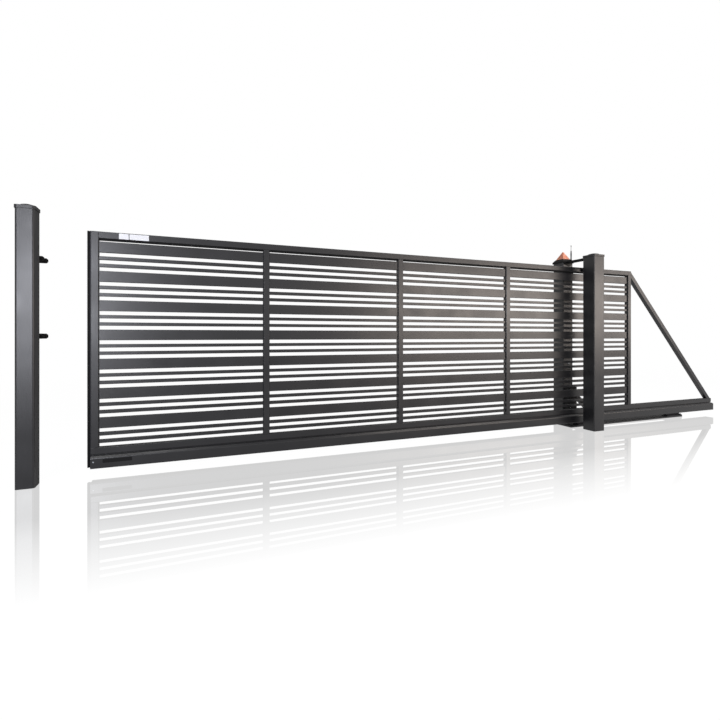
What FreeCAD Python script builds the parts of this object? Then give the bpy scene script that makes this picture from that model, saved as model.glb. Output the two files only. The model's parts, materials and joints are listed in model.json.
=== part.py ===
"""Self-supporting sliding driveway gate with its posts, in millimetres, +Z up.

The leaf slides along X. Y = 0 is the leaf's centre plane and -Y is the street side.
The origin lies on the underside of the base plate, midway between the two portal posts.
"""

import math
import os

import FreeCAD
import Part

os.makedirs("parts", exist_ok=True)

# Leaf frame
FRAME_TUBE = 40.0
FRAME_BEVEL = 2.0
BAY_PITCH = 1015.0
EQUAL_BAYS = 3
LAST_BAY_PITCH = 1451.0
TAIL_LENGTH = 1206.0
LEADING_EDGE_X = -3868.0
GROUND_CLEARANCE = 42.0

# Slats, counted upwards as narrow, narrow, wide
SLAT_WIDE = 64.7
SLAT_NARROW = 21.0
SLAT_GAP = 23.0
SLAT_DEPTH = 20.0
SLAT_BEVEL = 1.5
NARROW_PER_GROUP = 2
SLAT_GROUPS = 7
TOP_GAP = 17.6

# Dark strip under the top rail, one length to a bay
STRIP_DEPTH = 20.0
STRIP_HEIGHT = 10.0

# Running beam, a slotted section that hangs over the carriage wheels
BEAM_WIDTH = 80.0
BEAM_HEIGHT = 74.0
BEAM_WALL = 5.0
BEAM_SLOT = 30.0
BEVEL_RUN = 18.0
BEVEL_RISE = 9.0
NECK_WIDTH = 24.0
NECK_HEIGHT = 6.5
CAP_THICKNESS = 5.0

# Safety edge on the closing end
EDGE_CARRIER = 5.0
EDGE_RUBBER = 16.0
EDGE_WIDTH = 30.0
EDGE_WALL = 3.0
EDGE_RISE = 4.0

# Tail brace, measured down the trailing stile to its upper edge
BRACE_DROP = 9.0
BRACE_END_INSET = 15.0

# Posts
PORTAL_POST = 120.0
PORTAL_GAP = 220.0
RECEIVING_WIDTH = 92.0
RECEIVING_DEPTH = 100.0
RECEIVING_ROUND = 12.0
POST_WALL = 4.0
POST_ROUND = 8.0
POST_TOP = 1518.0
CLEAR_OPENING = 4050.0
RECEIVING_OFFSET = 18.0
FOOT_PLATE = 6.0

# Low domed post caps
CAP_RIM = 17.0
CAP_OVERHANG = 4.0
DOME_RISE = 16.0
DOME_SHARE = 0.9
DOME_STEPS = 3
DOME_FULLNESS = 0.7
DOME_SIDES = 36
CROWN_SHARE = 0.12

# Catches on the receiving post
CATCH_HEIGHTS = {"lower": 826.0, "upper": 1266.0}
PEG_DIAMETER = 30.0
PEG_LENGTH = 68.0
PEG_TIP = 8.0
PEG_TIP_DIAMETER = 18.0
PEG_SIDES = 24
PEG_CLEARANCE = 5.0
CATCH_PLATE = 8.0
CATCH_INSET = 53.0
CATCH_HEIGHT = 44.0
CATCH_FLANGE = 6.0
CATCH_FLANGE_WIDTH = 36.0
CATCH_FLANGE_HEIGHT = 80.0

# Base plate and carriages
BASE_LEFT = -112.0
BASE_TAIL_INSET = 477.0
BASE_FRONT = -30.0
BASE_BACK = 240.0
BASE_PLATE = 12.0
ANCHOR_HOLE = 14.0
ANCHOR_LEFT_X = 150.0
ANCHOR_RIGHT_INSET = 38.0
ANCHOR_Y = (85.0, 215.0)
CARRIAGE_LEFT_X = 80.0
CARRIAGE_RIGHT_INSET = 112.0
CARRIAGE_FOOT = 10.0
CARRIAGE_FOOT_LENGTH = 220.0
CARRIAGE_FOOT_WIDTH = 56.0
CARRIAGE_WEB = 16.0
CARRIAGE_WEB_LENGTH = 200.0
WHEEL_SPACING = 140.0
WHEEL_WIDTH = 14.0
WHEEL_GAP = 0.5
WHEEL_SIDE_GAP = 3.5
AXLE_DIAMETER = 16.0

# Drive post head, lamp and antenna
DRIVE_POST_TOP = 1510.0
HEAD_RIM = 15.0
HEAD_OVERHANG = 5.0
HEAD_SLOPE = 24.0
LENS_BASE = 90.0
LENS_TOP = 8.0
LENS_HEIGHT = 74.0
ANTENNA_X = 42.0
ANTENNA_Y_INSET = 4.0
ANTENNA_BOSS = 16.0
ANTENNA_BOSS_HEIGHT = 18.0
ANTENNA_SLEEVE = 12.0
ANTENNA_SLEEVE_LENGTH = 86.0
ANTENNA_WHIP = 5.0
ANTENNA_WHIP_LENGTH = 50.0

# Guide arm over the leaf, tying the posts together
ARM_WIDTH = 25.0
ARM_HEIGHT = 22.0
ARM_X = -10.0
ARM_ABOVE_POST = 5.5
ARM_SPIGOT = 10.0
ARM_SPIGOT_LENGTH = 28.0
YOKE_WIDTH = 96.0
YOKE_THICKNESS = 5.0
YOKE_SIDE_DROP = 12.0
YOKE_TIP_DROP = 32.0
YOKE_TIP_X = 8.0

# Upright guide rollers, one on each portal post, beside the top rail
ROLLER_X = 46.0
ROLLER_DIAMETER = 34.0
ROLLER_RUNNING_GAP = 1.0
ROLLER_BELOW_LEAF_TOP = 1.0
ROLLER_HEIGHT = 34.0
ROLLER_PIN = 12.0
ROLLER_WASHER = 5.0
ROLLER_WASHER_DIAMETER = 24.0
BRACKET_WIDTH = 24.0
BRACKET_PLATE = 8.0
BRACKET_FLANGE_HEIGHT = 36.0

# Drive housing and the post's strut
HOUSING_WIDTH = 100.0
HOUSING_DEPTH = 60.0
HOUSING_BOTTOM = 146.0
HOUSING_HEIGHT = 204.0
HOUSING_ROUND = 10.0
STRUT_TUBE = 40.0
STRUT_TOP = 334.0
STRUT_REACH = 375.0

# Levels and stations that follow from the sizes above
HALF_TUBE = FRAME_TUBE / 2
BEAM_BOTTOM = GROUND_CLEARANCE
RAIL_BOTTOM = BEAM_BOTTOM + BEAM_HEIGHT + NECK_HEIGHT
RAIL_TOP = RAIL_BOTTOM + FRAME_TUBE
SLAT_PERIOD = SLAT_WIDE + NARROW_PER_GROUP * SLAT_NARROW + (NARROW_PER_GROUP + 1) * SLAT_GAP
TOP_RAIL_BOTTOM = RAIL_TOP + SLAT_GROUPS * SLAT_PERIOD + TOP_GAP
LEAF_TOP = TOP_RAIL_BOTTOM + FRAME_TUBE
STILE_X = [LEADING_EDGE_X + HALF_TUBE + i * BAY_PITCH for i in range(EQUAL_BAYS + 1)]
STILE_X.append(STILE_X[-1] + LAST_BAY_PITCH)
TRAILING_EDGE_X = STILE_X[-1] + HALF_TUBE
TAIL_END_X = TRAILING_EDGE_X + TAIL_LENGTH
HALF_POST = PORTAL_POST / 2
GUIDE_POST_Y = -(PORTAL_GAP / 2 + HALF_POST)
DRIVE_POST_Y = PORTAL_GAP / 2 + HALF_POST
RECEIVING_RIGHT_X = -HALF_POST - CLEAR_OPENING
RECEIVING_X = RECEIVING_RIGHT_X - RECEIVING_WIDTH / 2
RECEIVING_BACK_Y = -(BEAM_WIDTH / 2 + RECEIVING_OFFSET)
RECEIVING_Y = RECEIVING_BACK_Y - RECEIVING_DEPTH / 2
BASE_RIGHT = TAIL_END_X - BASE_TAIL_INSET
ANCHOR_X = (ANCHOR_LEFT_X, BASE_RIGHT - ANCHOR_RIGHT_INSET)
CARRIAGE_X = {"left": CARRIAGE_LEFT_X, "right": BASE_RIGHT - CARRIAGE_RIGHT_INSET}
CAVITY_BOTTOM = BEAM_BOTTOM + BEAM_WALL
CAVITY_TOP = BEAM_BOTTOM + BEAM_HEIGHT - BEVEL_RISE - BEAM_WALL


def vec(x, y, z):
    return FreeCAD.Vector(x, y, z)


X_AXIS = vec(1, 0, 0)
Y_AXIS = vec(0, 1, 0)
Z_AXIS = vec(0, 0, 1)


def block(x0, x1, y0, y1, z0, z1):
    return Part.makeBox(x1 - x0, y1 - y0, z1 - z0, vec(x0, y0, z0))


def rod(diameter, length, base, along):
    return Part.makeCylinder(diameter / 2, length, base, along)


def edges_along(shape, direction):
    """Straight edges of the shape that run in the direction."""
    found = []
    for edge in shape.Edges:
        run = edge.Vertexes[-1].Point - edge.Vertexes[0].Point
        if run.Length > 0 and run.cross(direction).Length < 1e-6 * run.Length:
            found.append(edge)
    return found


def rounded(shape, direction, radius):
    return shape.makeFillet(radius, edges_along(shape, direction))


def bevelled(shape, direction, width):
    return shape.makeChamfer(width, edges_along(shape, direction))


def prism(points, along):
    wire = Part.makePolygon(points + points[:1])
    return Part.Face(wire).extrude(along)


def flat_face(points):
    return Part.Face(Part.makePolygon(points + points[:1]))


def square_points(side, x, y, z):
    half = side / 2
    return [vec(x + sx * half, y + sy * half, z) for sx, sy in ((-1, -1), (1, -1), (1, 1), (-1, 1))]


def ring_points(radius, sides, centre, u, v):
    """Corners of a regular polygon about the centre, in the plane of u and v."""
    angles = [2 * math.pi * i / sides for i in range(sides)]
    return [centre + u * (radius * math.cos(a)) + v * (radius * math.sin(a)) for a in angles]


def stacked(rings):
    """Solid with flat faces through closed rings of points, one over the other."""
    faces = [flat_face(rings[0]), flat_face(rings[-1])]
    count = len(rings[0])
    for low, high in zip(rings, rings[1:]):
        for i in range(count):
            j = (i + 1) % count
            faces.append(flat_face([low[i], low[j], high[j], high[i]]))
    return Part.makeSolid(Part.makeShell(faces))


def square_taper(low_side, high_side, x, y, z0, z1):
    """Frustum of a square pyramid."""
    return stacked([square_points(low_side, x, y, z0), square_points(high_side, x, y, z1)])


def export(node, *solids):
    shape = solids[0] if len(solids) == 1 else Part.makeCompound(list(solids))
    shape.exportStep("parts/" + node + ".step")


# Leaf frame
def frame_bar(x0, x1, z0, z1, along):
    bar = block(x0, x1, -HALF_TUBE, HALF_TUBE, z0, z1)
    return bevelled(bar, along, FRAME_BEVEL)


stile_names = ["leading_stile"]
stile_names += ["mid_stile_%d" % (i + 1) for i in range(EQUAL_BAYS)]
stile_names.append("trailing_stile")
for name, x in zip(stile_names, STILE_X):
    at_an_end = name in ("leading_stile", "trailing_stile")
    top = LEAF_TOP if at_an_end else TOP_RAIL_BOTTOM
    export(name, frame_bar(x - HALF_TUBE, x + HALF_TUBE, RAIL_TOP, top, Z_AXIS))

export("top_rail", frame_bar(STILE_X[0] + HALF_TUBE, STILE_X[-1] - HALF_TUBE, TOP_RAIL_BOTTOM, LEAF_TOP, X_AXIS))
export("bottom_rail", frame_bar(LEADING_EDGE_X, TAIL_END_X, RAIL_BOTTOM, RAIL_TOP, X_AXIS))


# Slat panels, one to a bay
def slat(x0, x1, z0, height):
    bar = block(x0, x1, -SLAT_DEPTH / 2, SLAT_DEPTH / 2, z0, z0 + height)
    return bevelled(bar, X_AXIS, SLAT_BEVEL)


def slat_panel(x0, x1):
    slats = []
    z = RAIL_TOP
    for group in range(SLAT_GROUPS):
        for height in [SLAT_NARROW] * NARROW_PER_GROUP + [SLAT_WIDE]:
            z += SLAT_GAP
            slats.append(slat(x0, x1, z, height))
            z += height
    return slats


strips = []
for bay in range(EQUAL_BAYS + 1):
    left = STILE_X[bay] + HALF_TUBE
    right = STILE_X[bay + 1] - HALF_TUBE
    export("slat_panel_%d" % (bay + 1), *slat_panel(left, right))
    half_strip = STRIP_DEPTH / 2
    strips.append(block(left, right, -half_strip, half_strip, TOP_RAIL_BOTTOM - STRIP_HEIGHT, TOP_RAIL_BOTTOM))
export("top_rail_strip", *strips)


# Running beam
def beam_section(x):
    half = BEAM_WIDTH / 2
    slot = BEAM_SLOT / 2
    inner = half - BEAM_WALL
    neck = NECK_WIDTH / 2
    shoulder = half - BEVEL_RUN
    low = BEAM_BOTTOM
    lip = CAVITY_BOTTOM
    ceiling = CAVITY_TOP
    bevel = BEAM_BOTTOM + BEAM_HEIGHT - BEVEL_RISE
    top = BEAM_BOTTOM + BEAM_HEIGHT
    right_side = [
        (slot, low),
        (half, low),
        (half, bevel),
        (shoulder, top),
        (neck, top),
        (neck, RAIL_BOTTOM),
    ]
    inside = [(slot, lip), (inner, lip), (inner, ceiling)]
    outline = right_side
    outline = outline + [(-y, z) for y, z in reversed(right_side)]
    outline = outline + [(-y, z) for y, z in inside]
    outline = outline + list(reversed(inside))
    return [vec(x, y, z) for y, z in outline]


def beam_chamber(x):
    """Closed hollow above the wheel cavity, under the bevelled shoulders."""
    half = BEAM_WIDTH / 2
    floor = CAVITY_TOP + BEAM_WALL
    roof = BEAM_BOTTOM + BEAM_HEIGHT - BEAM_WALL
    wide = half - BEVEL_RUN * 0.7
    narrow = half - BEVEL_RUN - BEAM_WALL
    return [vec(x, -wide, floor), vec(x, wide, floor), vec(x, narrow, roof), vec(x, -narrow, roof)]


beam_run = vec(TAIL_END_X - LEADING_EDGE_X, 0, 0)
beam = prism(beam_section(LEADING_EDGE_X), beam_run).cut(prism(beam_chamber(LEADING_EDGE_X), beam_run))
export("running_beam", beam)

front_cap = block(
    LEADING_EDGE_X,
    LEADING_EDGE_X + CAP_THICKNESS,
    -BEAM_WIDTH / 2 + BEAM_WALL,
    BEAM_WIDTH / 2 - BEAM_WALL,
    CAVITY_BOTTOM,
    CAVITY_TOP,
)
export("beam_cap_front", front_cap)
half_beam = BEAM_WIDTH / 2
cap_outline = [
    (-half_beam, BEAM_BOTTOM),
    (half_beam, BEAM_BOTTOM),
    (half_beam, BEAM_BOTTOM + BEAM_HEIGHT - BEVEL_RISE),
    (half_beam - BEVEL_RUN, BEAM_BOTTOM + BEAM_HEIGHT),
    (BEVEL_RUN - half_beam, BEAM_BOTTOM + BEAM_HEIGHT),
    (-half_beam, BEAM_BOTTOM + BEAM_HEIGHT - BEVEL_RISE),
]
rear_cap = prism([vec(TAIL_END_X, y, z) for y, z in cap_outline], vec(CAP_THICKNESS, 0, 0))
export("beam_cap_rear", rear_cap)


# Tail brace from the trailing stile's top down to the end of the bottom rail
brace_high = LEAF_TOP - BRACE_DROP
brace_far = TAIL_END_X - BRACE_END_INSET
brace_slope = (brace_high - RAIL_TOP) / (brace_far - TRAILING_EDGE_X)
brace_face = FRAME_TUBE / math.cos(math.atan(brace_slope))
brace = prism(
    [
        vec(TRAILING_EDGE_X, -HALF_TUBE, brace_high - brace_face),
        vec(TRAILING_EDGE_X, -HALF_TUBE, brace_high),
        vec(brace_far, -HALF_TUBE, RAIL_TOP),
        vec(brace_far - brace_face / brace_slope, -HALF_TUBE, RAIL_TOP),
    ],
    vec(0, FRAME_TUBE, 0),
)
export("tail_brace", bevelled(brace, vec(1, 0, -brace_slope), FRAME_BEVEL))


# Safety edge: a carrier strip with a hollow rubber profile on it
carrier_x = LEADING_EDGE_X - EDGE_CARRIER
half_edge = EDGE_WIDTH / 2
edge_bottom = BEAM_BOTTOM + EDGE_RISE
export("safety_edge_carrier", block(carrier_x, LEADING_EDGE_X, -half_edge, half_edge, edge_bottom, LEAF_TOP))
rubber = block(carrier_x - EDGE_RUBBER, carrier_x, -half_edge, half_edge, edge_bottom, LEAF_TOP)
nose = [e for e in edges_along(rubber, Z_AXIS) if e.Vertexes[0].X < carrier_x - EDGE_RUBBER / 2]
rubber = rubber.makeFillet(half_edge * 0.75, nose)
hollow = block(
    carrier_x - EDGE_RUBBER + EDGE_WALL,
    carrier_x - EDGE_WALL,
    EDGE_WALL - half_edge,
    half_edge - EDGE_WALL,
    edge_bottom + EDGE_WALL,
    LEAF_TOP - EDGE_WALL,
)
hollow_nose = [e for e in edges_along(hollow, Z_AXIS) if e.Vertexes[0].X < carrier_x - EDGE_RUBBER / 2]
export("safety_edge", rubber.cut(hollow.makeFillet(half_edge * 0.55, hollow_nose)))


# Posts and their caps
def upright(width, depth, x, y, z0, z1, corner):
    box = block(x - width / 2, x + width / 2, y - depth / 2, y + depth / 2, z0, z1)
    return rounded(box, Z_AXIS, corner)


def post(width, depth, x, y, z0, z1, corner, closed_foot):
    outer = upright(width, depth, x, y, z0, z1, corner)
    floor = z0 + FOOT_PLATE if closed_foot else z0
    walls = 2 * POST_WALL
    return outer.cut(upright(width - walls, depth - walls, x, y, floor, z1, corner - POST_WALL))


def post_cap(width, depth, x, y, z, corner):
    around = 2 * CAP_OVERHANG
    rim = upright(width + around, depth + around, x, y, z, z + CAP_RIM, corner + CAP_OVERHANG)
    reach = (min(width, depth) / 2 + CAP_OVERHANG) * DOME_SHARE
    rings = []
    for step in range(DOME_STEPS + 1):
        share = 1 - (1 - CROWN_SHARE) * step / DOME_STEPS
        rise = DOME_RISE * (1 - share**2) ** DOME_FULLNESS
        centre = vec(x, y, z + CAP_RIM + rise)
        rings.append(ring_points(reach * share, DOME_SIDES, centre, X_AXIS, Y_AXIS))
    return rim.fuse(stacked(rings)).removeSplitter()


receiving_at = (RECEIVING_WIDTH, RECEIVING_DEPTH, RECEIVING_X, RECEIVING_Y)
export("receiving_post", post(*receiving_at, 0, POST_TOP, RECEIVING_ROUND, True))
export("receiving_post_cap", post_cap(*receiving_at, POST_TOP, RECEIVING_ROUND))
guide_at = (PORTAL_POST, PORTAL_POST, 0, GUIDE_POST_Y)
export("guide_post", post(*guide_at, 0, POST_TOP, POST_ROUND, True))
export("guide_post_cap", post_cap(*guide_at, POST_TOP, POST_ROUND))
drive_at = (PORTAL_POST, PORTAL_POST, 0, DRIVE_POST_Y)
export("drive_post", post(*drive_at, BASE_PLATE, DRIVE_POST_TOP, POST_ROUND, False))


# Catches: a bracket behind the receiving post with two pegs that take the leaf between them
peg_y = HALF_TUBE + PEG_CLEARANCE + PEG_DIAMETER / 2
catch_x = RECEIVING_RIGHT_X - CATCH_INSET
for name, z in CATCH_HEIGHTS.items():
    web = block(
        catch_x - CATCH_PLATE,
        catch_x,
        RECEIVING_BACK_Y,
        peg_y + PEG_DIAMETER / 2,
        z - CATCH_HEIGHT / 2,
        z + CATCH_HEIGHT / 2,
    )
    flange = block(
        catch_x - CATCH_FLANGE_WIDTH,
        catch_x,
        RECEIVING_BACK_Y,
        RECEIVING_BACK_Y + CATCH_FLANGE,
        z - CATCH_FLANGE_HEIGHT / 2,
        z + CATCH_FLANGE_HEIGHT / 2,
    )
    export(name + "_catch", web.fuse(flange).removeSplitter())
    pegs = []
    for side in (-1, 1):
        rings = []
        for along, diameter in (
            (0, PEG_DIAMETER),
            (PEG_LENGTH - PEG_TIP, PEG_DIAMETER),
            (PEG_LENGTH, PEG_TIP_DIAMETER),
        ):
            centre = vec(catch_x + along, side * peg_y, z)
            rings.append(ring_points(diameter / 2, PEG_SIDES, centre, Y_AXIS, Z_AXIS))
        pegs.append(stacked(rings))
    export(name + "_catch_pegs", *pegs)


# Base plate with its anchor holes
base = block(BASE_LEFT, BASE_RIGHT, BASE_FRONT, BASE_BACK, 0, BASE_PLATE)
for x in ANCHOR_X:
    for y in ANCHOR_Y:
        base = base.cut(rod(ANCHOR_HOLE, BASE_PLATE, vec(x, y, 0), Z_AXIS))
export("base_plate", base)


# Carriages that stand in the beam's slot and carry two pairs of wheels
wheel_diameter = CAVITY_TOP - CAVITY_BOTTOM - 2 * WHEEL_GAP
wheel_z = (CAVITY_TOP + CAVITY_BOTTOM) / 2
wheel_outer_y = BEAM_WIDTH / 2 - BEAM_WALL - WHEEL_SIDE_GAP
foot_top = BASE_PLATE + CARRIAGE_FOOT
for side, x in CARRIAGE_X.items():
    half_foot = CARRIAGE_FOOT_LENGTH / 2
    half_web = CARRIAGE_WEB_LENGTH / 2
    foot = block(
        x - half_foot,
        x + half_foot,
        -CARRIAGE_FOOT_WIDTH / 2,
        CARRIAGE_FOOT_WIDTH / 2,
        BASE_PLATE,
        foot_top,
    )
    web_top = wheel_z + AXLE_DIAMETER
    web = block(x - half_web, x + half_web, -CARRIAGE_WEB / 2, CARRIAGE_WEB / 2, foot_top, web_top)
    body = foot.fuse(web)
    wheels = []
    for axle_x in (x - WHEEL_SPACING / 2, x + WHEEL_SPACING / 2):
        axle = rod(AXLE_DIAMETER, 2 * wheel_outer_y, vec(axle_x, -wheel_outer_y, wheel_z), Y_AXIS)
        body = body.fuse(axle)
        for start in (-wheel_outer_y, wheel_outer_y - WHEEL_WIDTH):
            tyre = rod(wheel_diameter, WHEEL_WIDTH, vec(axle_x, start, wheel_z), Y_AXIS)
            wheels.append(tyre.cut(rod(AXLE_DIAMETER, WHEEL_WIDTH, vec(axle_x, start, wheel_z), Y_AXIS)))
    export("carriage_" + side, body.removeSplitter())
    export("carriage_wheels_" + side, *wheels)


# Head of the drive post with the lamp and the antenna
rim_side = PORTAL_POST + 2 * HEAD_OVERHANG
half_rim = rim_side / 2
rim_top = DRIVE_POST_TOP + HEAD_RIM
lens_bottom = rim_top + HEAD_SLOPE
head = block(-half_rim, half_rim, DRIVE_POST_Y - half_rim, DRIVE_POST_Y + half_rim, DRIVE_POST_TOP, rim_top)
slope = square_taper(rim_side, LENS_BASE, 0, DRIVE_POST_Y, rim_top, lens_bottom)
antenna_y = DRIVE_POST_Y - HALF_POST + ANTENNA_Y_INSET
boss = rod(ANTENNA_BOSS, ANTENNA_BOSS_HEIGHT, vec(ANTENNA_X, antenna_y, rim_top), Z_AXIS)
export("drive_head", head.fuse([slope, boss]).removeSplitter())

lens = square_taper(LENS_BASE, LENS_TOP, 0, DRIVE_POST_Y, lens_bottom, lens_bottom + LENS_HEIGHT)
export("lamp_lens", lens)

sleeve_z = rim_top + ANTENNA_BOSS_HEIGHT
sleeve = rod(ANTENNA_SLEEVE, ANTENNA_SLEEVE_LENGTH, vec(ANTENNA_X, antenna_y, sleeve_z), Z_AXIS)
whip_z = sleeve_z + ANTENNA_SLEEVE_LENGTH
whip = rod(ANTENNA_WHIP, ANTENNA_WHIP_LENGTH, vec(ANTENNA_X, antenna_y, whip_z), Z_AXIS)
export("antenna", sleeve.fuse(whip).removeSplitter())


# Guide arm from the guide post to the drive post's head, with a yoke plate under the head
arm_top = POST_TOP + ARM_ABOVE_POST
arm_bottom = arm_top - ARM_HEIGHT
arm_front = GUIDE_POST_Y + HALF_POST
arm_back = DRIVE_POST_Y - half_rim
arm_body = block(
    ARM_X - ARM_WIDTH / 2,
    ARM_X + ARM_WIDTH / 2,
    arm_front + ARM_SPIGOT_LENGTH,
    arm_back,
    arm_bottom,
    arm_top,
)
arm_middle = vec(ARM_X, arm_front, (arm_bottom + arm_top) / 2)
spigot = rod(ARM_SPIGOT, ARM_SPIGOT_LENGTH, arm_middle, Y_AXIS)
export("guide_arm", arm_body.fuse(spigot).removeSplitter())

yoke_y = PORTAL_GAP / 2
half_yoke = YOKE_WIDTH / 2
yoke = prism(
    [
        vec(-half_yoke, yoke_y, DRIVE_POST_TOP),
        vec(half_yoke, yoke_y, DRIVE_POST_TOP),
        vec(half_yoke, yoke_y, DRIVE_POST_TOP - YOKE_SIDE_DROP),
        vec(YOKE_TIP_X, yoke_y, DRIVE_POST_TOP - YOKE_TIP_DROP),
        vec(-half_yoke, yoke_y, DRIVE_POST_TOP - YOKE_SIDE_DROP),
    ],
    vec(0, -YOKE_THICKNESS, 0),
)
export("head_yoke", yoke)


# Brackets on the inner faces of the portal posts, each with a roller beside the top rail
roller_y = HALF_TUBE + ROLLER_RUNNING_GAP + ROLLER_DIAMETER / 2
roller_top = LEAF_TOP - ROLLER_BELOW_LEAF_TOP
roller_bottom = roller_top - ROLLER_HEIGHT
for name, side in (("front", -1), ("rear", 1)):
    face_y = side * PORTAL_GAP / 2
    low_y = min(face_y, side * roller_y)
    high_y = max(face_y, side * roller_y)
    bracket_left = ROLLER_X - BRACKET_WIDTH / 2
    bracket_right = ROLLER_X + BRACKET_WIDTH / 2
    shelf = block(
        bracket_left,
        bracket_right,
        low_y,
        high_y,
        roller_top,
        roller_top + BRACKET_PLATE,
    )
    flange_y = face_y - side * BRACKET_PLATE
    flange = block(
        bracket_left,
        bracket_right,
        min(face_y, flange_y),
        max(face_y, flange_y),
        roller_top - BRACKET_FLANGE_HEIGHT,
        roller_top,
    )
    axis = vec(ROLLER_X, side * roller_y, roller_top)
    end = rod(BRACKET_WIDTH, BRACKET_PLATE, axis, Z_AXIS)
    foot = vec(ROLLER_X, side * roller_y, roller_bottom)
    pin = rod(ROLLER_PIN, ROLLER_HEIGHT, foot, Z_AXIS)
    washer = rod(ROLLER_WASHER_DIAMETER, ROLLER_WASHER, foot - vec(0, 0, ROLLER_WASHER), Z_AXIS)
    export(name + "_guide_bracket", shelf.fuse([flange, end, pin, washer]).removeSplitter())
    roller = rod(ROLLER_DIAMETER, ROLLER_HEIGHT, foot, Z_AXIS)
    export(name + "_guide_roller", roller.cut(rod(ROLLER_PIN, ROLLER_HEIGHT, foot, Z_AXIS)))


# Drive housing on the face of the drive post that looks at the leaf
housing_back = PORTAL_GAP / 2
housing_front = housing_back - HOUSING_DEPTH
housing = block(
    -HOUSING_WIDTH / 2,
    HOUSING_WIDTH / 2,
    housing_front,
    housing_back,
    HOUSING_BOTTOM,
    HOUSING_BOTTOM + HOUSING_HEIGHT,
)
face_edges = [e for e in housing.Edges if e.BoundBox.YMax < housing_front + 1]
export("drive_housing", housing.makeFillet(HOUSING_ROUND, face_edges))


# Strut from the side of the drive post down to the base plate
strut_slope = (STRUT_TOP - BASE_PLATE) / STRUT_REACH
strut_face = STRUT_TUBE / math.cos(math.atan(strut_slope))
strut_high = STRUT_TOP + strut_face / 2
strut_low = STRUT_TOP - strut_face / 2
strut_y = DRIVE_POST_Y - STRUT_TUBE / 2
strut = prism(
    [
        vec(HALF_POST, strut_y, strut_low),
        vec(HALF_POST, strut_y, strut_high),
        vec(HALF_POST + (strut_high - BASE_PLATE) / strut_slope, strut_y, BASE_PLATE),
        vec(HALF_POST + (strut_low - BASE_PLATE) / strut_slope, strut_y, BASE_PLATE),
    ],
    vec(0, STRUT_TUBE, 0),
)
export("post_strut", bevelled(strut, vec(1, 0, -strut_slope), FRAME_BEVEL))
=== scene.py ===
# %% [markdown]
# # Dressing a sliding driveway gate
# The gate is a welded steel leaf of horizontal slats. It stands on a slotted beam, which runs over wheels at
# the drive post and carries the leaf sideways through a portal of two posts, with no track across the drive.
# The solids come from CAD as a fixed frame, in metres, with +X along the leaf, -Y to the street and +Z up.
# This lesson gives them their finishes, and adds the small things that CAD leaves out: bolts, weld beads, the
# bends of the beam, the ribs of the lamp, screws, bare plates and a lock.

import json
import math

import bmesh
import bpy
from mathutils import Matrix, Vector


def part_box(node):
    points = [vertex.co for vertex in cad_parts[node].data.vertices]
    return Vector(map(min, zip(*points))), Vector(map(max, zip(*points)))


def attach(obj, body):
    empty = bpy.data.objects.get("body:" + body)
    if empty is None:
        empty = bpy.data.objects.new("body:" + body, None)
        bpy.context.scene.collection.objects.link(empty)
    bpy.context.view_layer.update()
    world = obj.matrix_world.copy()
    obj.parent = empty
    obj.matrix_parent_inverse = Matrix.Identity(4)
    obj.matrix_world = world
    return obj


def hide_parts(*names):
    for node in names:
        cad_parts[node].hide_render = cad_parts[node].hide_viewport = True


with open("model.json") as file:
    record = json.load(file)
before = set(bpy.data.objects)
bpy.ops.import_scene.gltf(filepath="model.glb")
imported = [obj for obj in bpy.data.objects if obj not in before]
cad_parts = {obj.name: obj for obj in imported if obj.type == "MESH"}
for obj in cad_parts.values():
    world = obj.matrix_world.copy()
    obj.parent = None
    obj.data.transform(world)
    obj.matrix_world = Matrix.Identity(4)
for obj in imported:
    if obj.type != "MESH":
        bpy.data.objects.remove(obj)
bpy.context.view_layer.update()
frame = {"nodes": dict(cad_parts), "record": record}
scene = bpy.context.scene
FIXED = "posts_and_base"
LEAF = "leaf"
MM = 0.001

# %% [markdown]
# Colours are written as sRGB hex, the way a colour card gives them. Shaders work in linear light, so one
# function turns the hex to linear. A second one adds a node with its settings and its links, for the shader
# trees as well as for the geometry trees: a value sets a socket, and another node's socket is linked to it.


# %% Colour and node helpers
def linear(hex_colour):
    channels = [int(hex_colour[i : i + 2], 16) / 255 for i in (1, 3, 5)]
    return tuple(c / 12.92 if c <= 0.04045 else ((c + 0.055) / 1.055) ** 2.4 for c in channels) + (1.0,)


def add(tree, kind, inputs=None, **settings):
    node = tree.nodes.new(kind)
    for name, value in settings.items():
        setattr(node, name, value)
    for key, value in (inputs or {}).items():
        for item in value if isinstance(value, list) else [value]:
            if isinstance(item, bpy.types.NodeSocket):
                tree.links.new(item, node.inputs[key])
            else:
                node.inputs[key].default_value = item
    return node


WHITE = linear("#ffffff")
print("helpers ready; mid grey #808080 is", round(linear("#808080")[0], 3), "in linear light")

# %% [markdown]
# Most finishes share three habits. Their patterns are sized in millimetres. No real surface has quite one
# colour, so each drifts between two close tints in soft clouds, and its gloss drifts along. Seen along itself
# a coat or a moulding turns matt, since its fine relief hides the gloss there. A texture picture could show
# all this too, but noise on Object coordinates needs no unwrapping and no file.

# %% What the finishes share
MIX_A, MIX_B, MIX_RESULT = 6, 7, 2  # the sockets of a Mix node that carry colours
CLOUD_RANGE = {"From Min": 0.3, "From Max": 0.7}  # where most of a noise lies
SKIM_FROM, SKIM_FULL = 0.5, 0.74  # 0 is face-on and 1 edge-on: where the gloss fades, and where it is gone
SKIM_MATT = 0.55  # the roughness that is added edge-on


def per_metre(size_mm):
    """Scale of a texture whose features are about this large."""
    return 1000 / size_mm


def start_finish(name):
    material = bpy.data.materials.new(name)
    material.use_nodes = True
    tree = material.node_tree
    coords = add(tree, "ShaderNodeTexCoord").outputs["Object"]
    return material, tree, tree.nodes["Principled BSDF"], coords


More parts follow.
